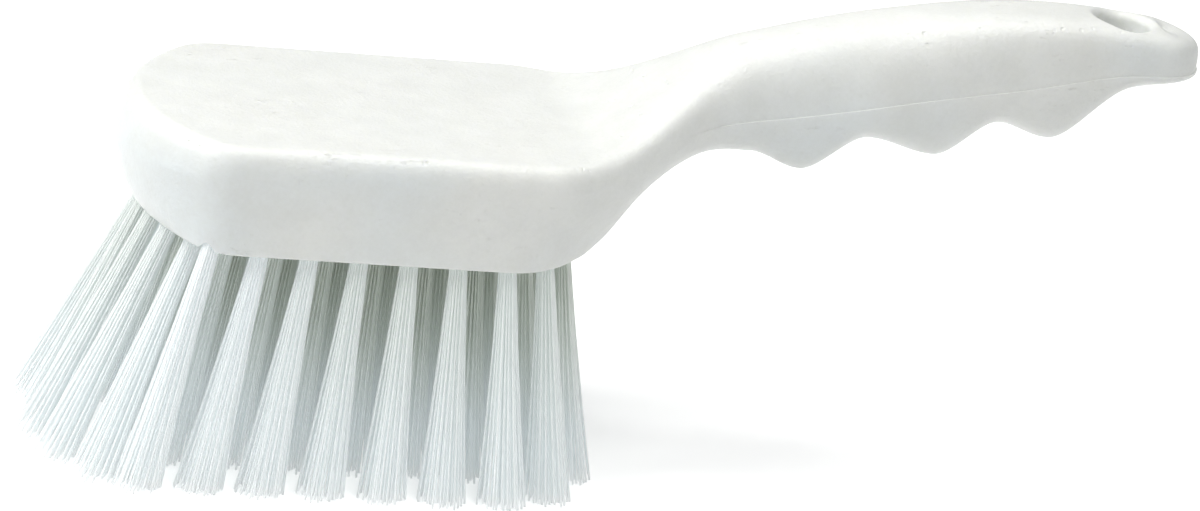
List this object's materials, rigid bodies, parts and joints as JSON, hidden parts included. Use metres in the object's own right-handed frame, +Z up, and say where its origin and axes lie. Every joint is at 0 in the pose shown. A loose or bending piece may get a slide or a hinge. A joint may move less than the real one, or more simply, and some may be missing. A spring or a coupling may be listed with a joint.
{
  "type": "hand scrub brush",
  "caption": "Short-handled hand scrub brush with a moulded block and finger grip, stiff splayed bristle tufts and a hanging hole.",
  "frame": {"origin": "centre of the bounding box at the trimmed bristle tips", "axes": "+Z up out of the block's back, +X along the handle from the toe, +Y across the block"},
  "size_m": [0.2476, 0.0844, 0.1057],
  "materials": {
    "block_plastic": "white moulded polypropylene with a soft sheen and a faint moulded texture",
    "bristle_filament": "white polyester filament, slightly cool and translucent",
    "staple_metal": "plain flat wire, hidden in the holes"
  },
  "bodies": {
    "root": {"block_and_handle": "block_plastic", "staples": "staple_metal", "tuft_01": "bristle_filament", "tuft_02": "bristle_filament", "tuft_03": "bristle_filament", "tuft_04": "bristle_filament", "tuft_05": "bristle_filament", "tuft_06": "bristle_filament", "tuft_07": "bristle_filament", "tuft_08": "bristle_filament", "tuft_09": "bristle_filament", "tuft_10": "bristle_filament", "tuft_11": "bristle_filament", "tuft_12": "bristle_filament", "tuft_13": "bristle_filament", "tuft_14": "bristle_filament", "tuft_15": "bristle_filament", "tuft_16": "bristle_filament", "tuft_17": "bristle_filament", "tuft_18": "bristle_filament", "tuft_19": "bristle_filament", "tuft_20": "bristle_filament", "tuft_21": "bristle_filament", "tuft_22": "bristle_filament", "tuft_23": "bristle_filament", "tuft_24": "bristle_filament", "tuft_25": "bristle_filament", "tuft_26": "bristle_filament", "tuft_27": "bristle_filament", "tuft_28": "bristle_filament", "tuft_29": "bristle_filament", "tuft_30": "bristle_filament", "tuft_31": "bristle_filament", "tuft_32": "bristle_filament", "tuft_33": "bristle_filament", "tuft_34": "bristle_filament", "tuft_35": "bristle_filament", "tuft_36": "bristle_filament", "tuft_37": "bristle_filament", "tuft_38": "bristle_filament", "tuft_39": "bristle_filament", "tuft_40": "bristle_filament", "tuft_41": "bristle_filament", "tuft_42": "bristle_filament", "tuft_43": "bristle_filament", "tuft_44": "bristle_filament", "tuft_45": "bristle_filament", "tuft_46": "bristle_filament", "tuft_47": "bristle_filament", "tuft_48": "bristle_filament", "tuft_49": "bristle_filament", "tuft_50": "bristle_filament", "tuft_51": "bristle_filament", "tuft_52": "bristle_filament", "tuft_53": "bristle_filament", "tuft_54": "bristle_filament", "tuft_55": "bristle_filament"}
  },
  "joints": []
}
